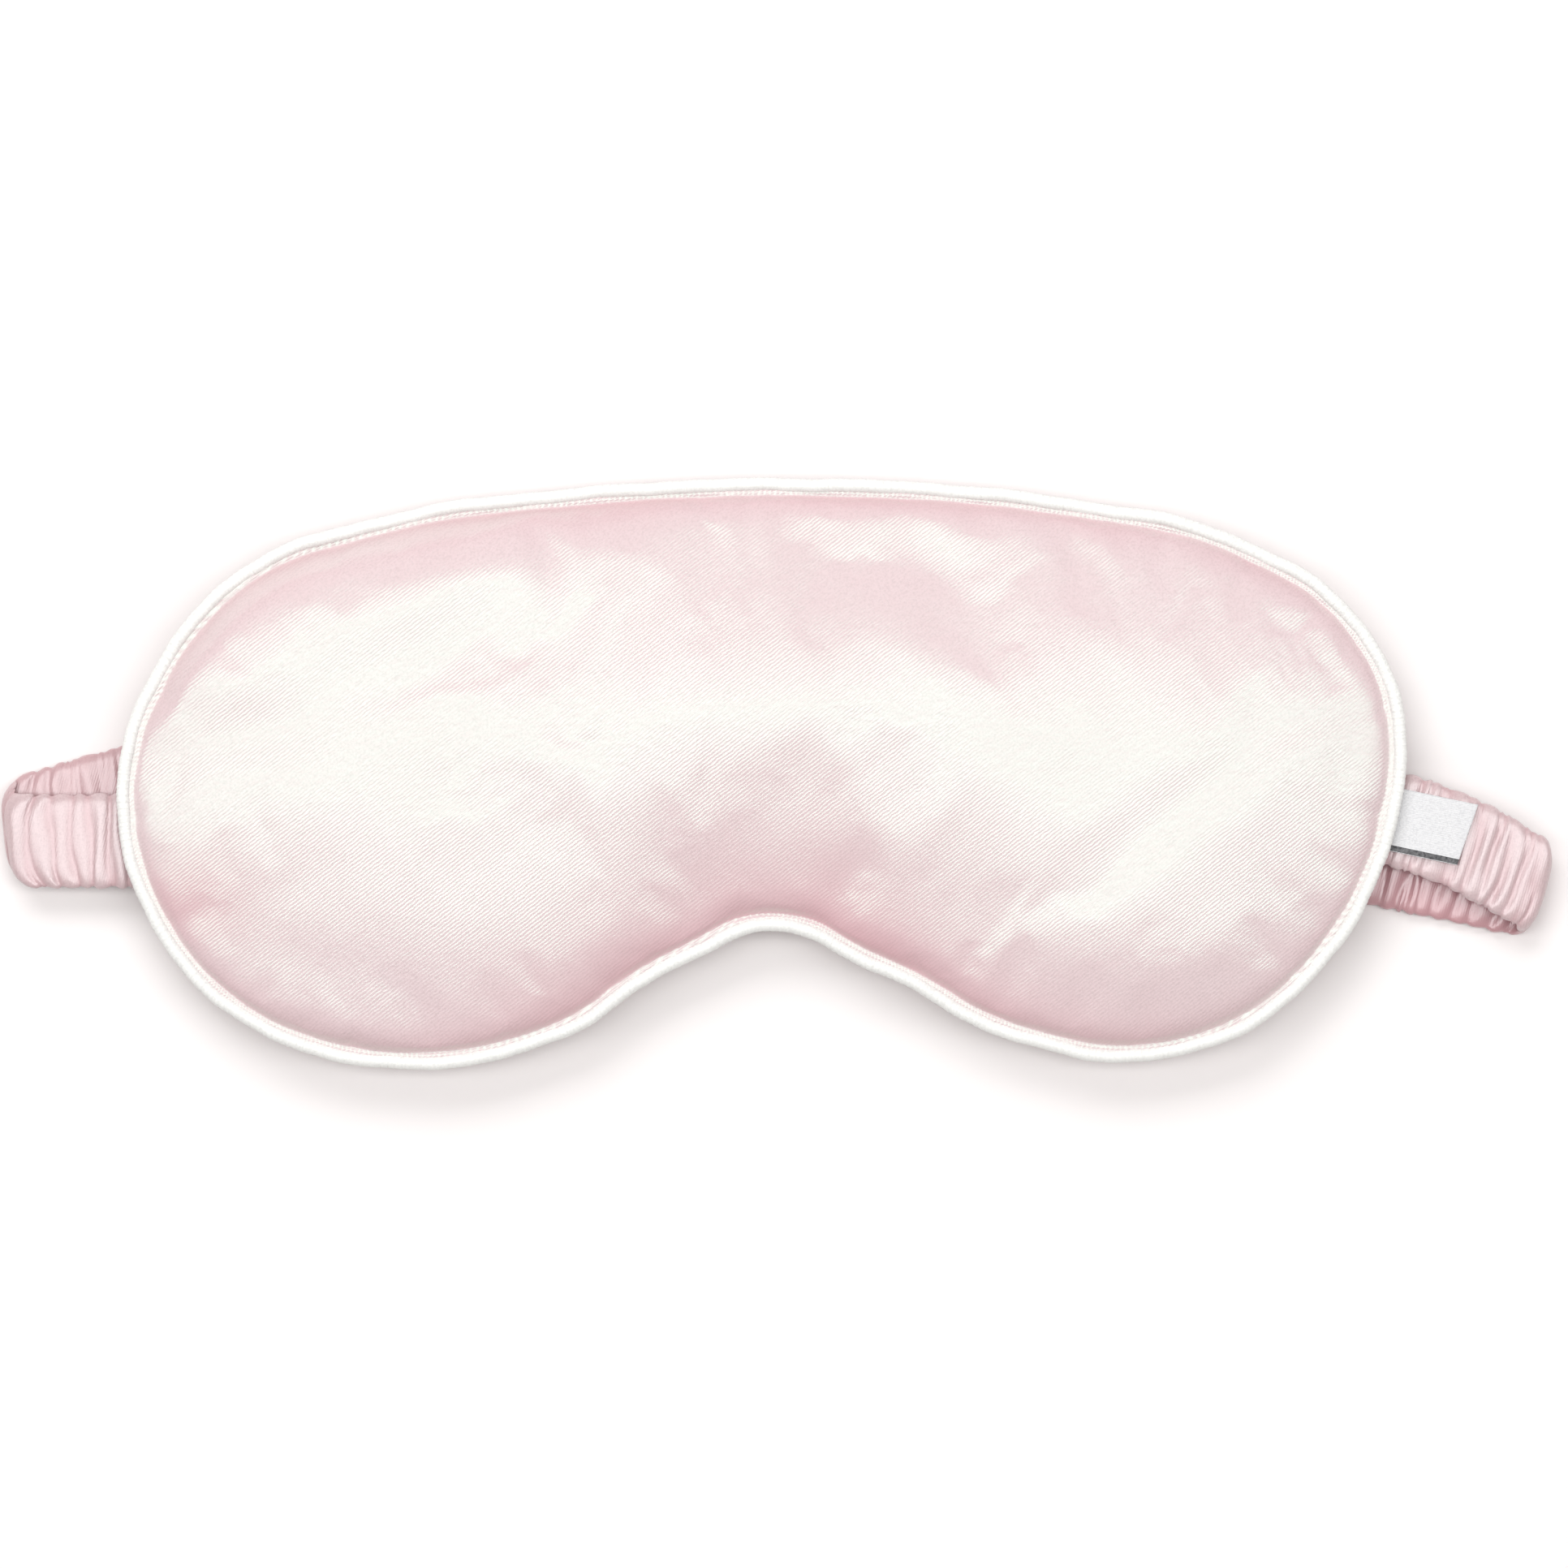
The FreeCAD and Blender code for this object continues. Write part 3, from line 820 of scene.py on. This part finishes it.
# Painted shade on the loops' lower layer, which lies under the upper one: the heights over
# which it fades upwards, how far out it sets in, and how deep it is at the left and at the right.
SHADE_HEIGHTS = (1.9, 3.2)
SHADE_START = (85, 105)
LEFT_SHADE = 0.55
RIGHT_SHADE = 0.95

# Sides and thickness of the elastic and of the casing's seam thread in the strap.
ELASTIC = (-5.8, 5.8, 0.3)
SEAM_THREAD = (6.4, 6.7, 0.2)


def along(angle):
    """Unit vector in the ground plane at an angle in degrees from +X."""
    turn = math.radians(angle)
    return np.array([math.cos(turn), math.sin(turn)])


def left_of(angle):
    """Unit vector to the left of a direction."""
    return along(angle + 90)


def fold_frame(strap_end):
    """Centre of the fold, direction of its line and its tilt from the strap."""
    cross = (strap_end["end"] + strap_end["back"]) / 2
    tilt = math.radians((strap_end["end"] - strap_end["back"]) / 2)
    line = left_of(cross)
    bulge = (FOLD_RADIUS + STRAP_THICKNESS / 2) * math.cos(math.radians(cross))
    lean = abs(line[0]) * STRAP_WIDTH / 2 / math.cos(tilt)
    centre = np.array([strap_end["outward"] * (SPAN / 2 - bulge - lean), strap_end["middle_y"]])
    return centre, line, tilt, along(cross) * strap_end["outward"]


def fold_point(strap_end, side):
    """Where a lengthwise line of the strap crosses the fold."""
    centre, line, tilt, _ = fold_frame(strap_end)
    return centre + line * (side / math.cos(tilt))


def back_line(side, count):
    """Points of one lengthwise line of the strap behind the mask."""
    left_angle, right_angle = LEFT_STRAP["back"], RIGHT_STRAP["back"]
    bend = math.radians((left_angle - right_angle) / 2)
    left_centre = fold_frame(LEFT_STRAP)[0]
    right_centre = fold_frame(RIGHT_STRAP)[0]
    left_run, right_run = along(left_angle), along(right_angle)
    across = right_centre - left_centre
    distance = (across[0] * right_run[1] - across[1] * right_run[0]) / (
        left_run[0] * right_run[1] - left_run[1] * right_run[0]
    )
    bisector = left_of((left_angle + right_angle) / 2)
    corner = left_centre + left_run * distance + bisector * (side / math.cos(bend))
    radius = BEND_RADIUS + side
    reach = radius * math.tan(bend)
    start, first = fold_point(LEFT_STRAP, side), corner - left_run * reach
    last, end = corner + right_run * reach, fold_point(RIGHT_STRAP, side)
    runs = (np.linalg.norm(first - start), 2 * bend * radius, np.linalg.norm(end - last))
    places = np.linspace(0, sum(runs), count)
    middle = first - left_of(left_angle) * radius
    points = []
    for place in places:
        if place < runs[0]:
            points.append(start + left_run * place)
        elif place < runs[0] + runs[1]:
            turn = left_angle - math.degrees((place - runs[0]) / radius)
            points.append(middle + left_of(turn) * radius)
        else:
            points.append(last + right_run * (place - runs[0] - runs[1]))
    return np.array(points)


def settle(points, side):
    """Points of a lengthwise line of the strap, moved to how its two loops have slumped."""
    points = points.copy()
    drop = (STRAP_HEIGHT - STRAP_THICKNESS / 2 - points[:, 2]) / (2 * FOLD_RADIUS)
    for strap_end, slump in ((LEFT_STRAP, LEFT_SLUMP), (RIGHT_STRAP, RIGHT_SLUMP)):
        centre, line, _, outward = fold_frame(strap_end)
        inside = -(points[:, :2] - centre) @ outward
        visible = 1 - smoothstep(inside, *SLUMP_FADE)
        arch = slump["arch"] * np.sin(math.pi * np.clip(inside / ARCH_LENGTH, 0, 1) ** 0.9)
        across = slump["shift"] * drop * visible + arch * (1 - drop)
        corner = slump["rounding"] * abs(side / (STRAP_WIDTH / 2)) ** 4
        out = (slump["bulge"] - corner) * bell(np.maximum(inside, 0), FOLD_REACH)
        points[:, :2] += across[:, None] * line + out[:, None] * outward
    return points


def end_line(strap_end, side):
    """Points of a lengthwise line from the sewn end to the fold, top layer."""
    fold = fold_point(strap_end, side)
    centre = fold_frame(strap_end)[0]
    inward = along(strap_end["end"]) * (-strap_end["outward"] * strap_end["run"])
    sewn = centre + inward + left_of(strap_end["end"]) * side
    shares = np.linspace(0, 1, END_ROWS, endpoint=False)[:, None]
    return sewn + (fold - sewn) * shares


def strap_rows(side):
    """Middle surface of the strap along one lengthwise line: points and normals."""
    low, high = STRAP_THICKNESS / 2, STRAP_THICKNESS / 2 + 2 * FOLD_RADIUS
    points, normals = [], []
    turns = np.linspace(math.pi / 2, -math.pi / 2, FOLD_ROWS, endpoint=False)
    # Rows crowd together halfway down the fold, where a stretched strap draws out.
    turns = turns - 0.42 * np.sin(2 * turns)

    def add_flat(line, height, up):
        points.append(np.column_stack([line, np.full(len(line), height)]))
        normals.append(np.tile([0, 0, up], (len(line), 1)))

    def add_fold(strap_end, angles):
        at = fold_point(strap_end, side)
        outward = fold_frame(strap_end)[3]
        facing = np.column_stack([np.outer(np.cos(angles), outward), np.sin(angles)])
        points.append(np.array([*at, (low + high) / 2]) + facing * FOLD_RADIUS)
        normals.append(facing)

    add_flat(end_line(LEFT_STRAP, side), high, 1)
    add_fold(LEFT_STRAP, turns)
    add_flat(back_line(side, BACK_ROWS), low, -1)
    add_fold(RIGHT_STRAP, -turns)
    add_flat(end_line(RIGHT_STRAP, side)[::-1], high, 1)
    return settle(np.concatenate(points), side), np.concatenate(normals)


def gather_heights(place, side, seed, low, high):
    """Height of the gathers, from 0 in a valley to 1 on a ridge."""
    rng = np.random.default_rng(seed)
    valleys = np.cumsum(rng.uniform(low, high, GATHER_COUNT)) + GATHERS_START
    levels = rng.uniform(0.55, 1.0, GATHER_COUNT + 1)
    slants = rng.uniform(-0.8, 0.8, GATHER_COUNT)
    index = np.searchsorted(valleys, place)
    slant = slants[np.clip(index, 0, GATHER_COUNT - 1)]
    place = place + slant * side + 0.35 * np.sin(place * 0.9 + 3.1 * side)
    index = np.clip(np.searchsorted(valleys, place), 1, GATHER_COUNT - 1)
    share = (place - valleys[index - 1]) / (valleys[index] - valleys[index - 1])
    return levels[index] * np.sin(np.pi * np.clip(share, 0, 1)) ** 1.1


def band_section(count):
    """Section of a band with round edges: shares of its half width and half thickness."""
    flat = [(share, 1.0) for share in np.linspace(-0.93, 0.93, count)]
    turns = np.sin(np.linspace(-1, 1, 7)[1:-1] * math.pi / 2)
    upper = flat + [(0.93 + 0.07 * math.sqrt(1 - s * s), -s) for s in turns]
    return upper + [(-a, -b) for a, b in upper]


def gathered_line(place, share, side, half):
    """One lengthwise line of the ruched casing, and how far its points are in hollows, for painted
    shade.
    """
    ridge = gather_heights(place, share, **BROAD_GATHERS)
    fine = gather_heights(place, share * 1.3, **FINE_GATHERS)
    thin = 1 - 0.4 * abs(share) ** 8
    offset = half * ((0.36 + 0.74 * ridge + 0.07 * fine) * thin)
    centre, normal = strap_rows(side)
    tight, _ = strap_rows(side * 0.94)
    centre = tight + (centre - tight) * (1.25 * ridge)[:, None]
    return centre + normal * offset[:, None], np.clip(1 - ridge, 0, 1) ** 1.5


def strap_shade(points, hollows):
    """Painted shade: deeper colour in the hollows, and on the lower layer of the two loops."""
    across, height = points[:, 0], points[:, 2]
    low_layer = 1 - smoothstep(height, *SHADE_HEIGHTS)
    low_layer *= smoothstep(np.abs(across), *SHADE_START)
    low_layer *= np.where(across > 0, RIGHT_SHADE, LEFT_SHADE)
    return np.maximum(low_layer, 0.5 * hollows)


def strap_band(name, low_side, high_side, thickness, material, gathered):
    """A band that follows the whole strap, closed all round, ruched if gathered."""
    middle_side = (low_side + high_side) / 2
    half_width = (high_side - low_side) / 2
    middle_line = strap_rows(0.0)[0]
    steps = np.linalg.norm(np.diff(middle_line, axis=0), axis=1)
    place = np.concatenate([[0], np.cumsum(steps)])
    columns, hollows = [], []
    for share, level in band_section(17 if gathered else 9):
        side = middle_side + half_width * share
        half = level * thickness / 2
        if gathered:
            column, hollow = gathered_line(place, share, side, half)
        else:
            centre, normal = strap_rows(side)
            column, hollow = centre + normal * half, np.zeros(len(place))
        columns.append(column)
        hollows.append(hollow)
    rows, sides = len(place), len(columns)
    faces = grid_faces(rows, sides, closed_columns=True)
    faces.append(tuple(reversed(range(sides))))
    faces.append(tuple(range((rows - 1) * sides, rows * sides)))
    points = np.stack(columns, axis=1).reshape(-1, 3)
    piece = make_mesh(name, points, faces)
    # Painted shade in the hollows of the gathers and on the loops' lower layer.
    set_shade(piece, strap_shade(points, np.stack(hollows, axis=1).ravel()))
    piece.data.materials.append(material)
    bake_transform(piece)
    return piece


def add_strap(materials):
    """Ruched casing, the elastic in it and the thread of the casing's seam."""
    half = STRAP_WIDTH / 2
    casing = strap_band("ruched_casing", -half, half, STRAP_THICKNESS, materials["ruched"], True)
    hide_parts("strap_casing")
    elastic = strap_band("elastic_band", *ELASTIC, materials["elastic"], False)
    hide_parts("strap_elastic")
    thread = strap_band("casing_thread", *SEAM_THREAD, materials["thread"], False)
    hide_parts("casing_seam_thread")


# ---------------------------------------------------------------- label

# Where the label leaves the seam and at what angle, the length that shows, its width
# and the tail in the seam.
LABEL_START = np.array((106.3, -8.0))
LABEL_ANGLE = -12.0
LABEL_LENGTH = 11.4
LABEL_WIDTH = 10.8
LABEL_TAIL = 4.0

# The height of its middle, its thickness, the radius of its fold, and the points along
# each of its two layers.
LABEL_MIDDLE = 6.42
LABEL_THICKNESS = 0.13
LABEL_FOLD = 0.3
LABEL_ROWS = 36

# Where the columns of points lie, as shares of its half width, and the column whose
# faces are the dark line.
LABEL_COLUMNS = np.concatenate([[-1, -0.985], np.linspace(-0.81, 1, 20)])
LINE_COLUMN = 1


def label_points():
    """Points of the folded label, in rows from one tail round the fold to the other."""
    outward, across = along(LABEL_ANGLE), left_of(LABEL_ANGLE)
    straight = LABEL_LENGTH - LABEL_FOLD
    turns = np.linspace(0, math.pi, 9)[1:-1]
    lengths = np.concatenate([
        np.linspace(-LABEL_TAIL, straight, LABEL_ROWS),
        straight + LABEL_FOLD * np.sin(turns),
        np.linspace(straight, -LABEL_TAIL, LABEL_ROWS),
    ])
    layer = np.ones(LABEL_ROWS)
    levels = np.concatenate([-layer, -np.cos(turns), layer])
    points = []
    # Away from the seam the label lifts a little and sways, and its layers part.
    for place, level in zip(lengths, levels):
        open_up = 0.5 * smoothstep(place, 2, LABEL_LENGTH)
        for share in LABEL_COLUMNS:
            sway = 0.10 * math.sin(place * 0.55 + share) * smoothstep(place, 0, 4)
            height = LABEL_MIDDLE + level * (0.1 + 0.1 * open_up) + sway + 0.35 * open_up
            spot = LABEL_START + across * (share * LABEL_WIDTH / 2)
            spot = spot + outward * (place * (1 + 0.06 * share))
            points.append((*spot, height))
    return points


def add_label(materials):
    """Folded woven label, blank but for a dark woven line near its lower edge."""
    points = label_points()
    columns = len(LABEL_COLUMNS)
    piece = make_mesh("woven_label", points, grid_faces(len(points) // columns, columns))
    piece.data.materials.append(materials["label"])
    piece.data.materials.append(materials["label_line"])
    for polygon in piece.data.polygons:
        if polygon.index % (columns - 1) == LINE_COLUMN:
            polygon.material_index = 1
    solid = piece.modifiers.new("thickness", "SOLIDIFY")
    solid.thickness = LABEL_THICKNESS * MM
    solid.offset = 0
    apply_modifier(piece, solid)
    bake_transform(piece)
    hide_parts("label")


# ---------------------------------------------------------------- inner CAD pieces

def paint_inner_pieces(materials):
    """Materials for the CAD pieces that stay as they are, inside the mask."""
    finishes = {
        "blackout_lining": "lining",
        "piping_cord": "cord",
        "perimeter_stitching": "thread",
        "left_strap_tack": "thread",
        "right_strap_tack": "thread",
    }
    for node, finish in finishes.items():
        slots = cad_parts[node].data.materials
        slots.clear()
        slots.append(materials[finish])


add_camera()
add_stage()
MATERIALS = make_materials()
add_strap(MATERIALS)
add_panel("front_panel", "front_cover", front_height, 1, MATERIALS["satin"])
add_panel("back_panel", "back_cover", back_height, -1, MATERIALS["back"], simulate=False)
add_wadding("front_fill", "front_wadding", front_height, 1, MATERIALS["wadding"])
add_wadding("back_fill", "back_wadding", back_height, -1, MATERIALS["wadding"])
add_piping(MATERIALS["piping"])
add_label(MATERIALS)
paint_inner_pieces(MATERIALS)
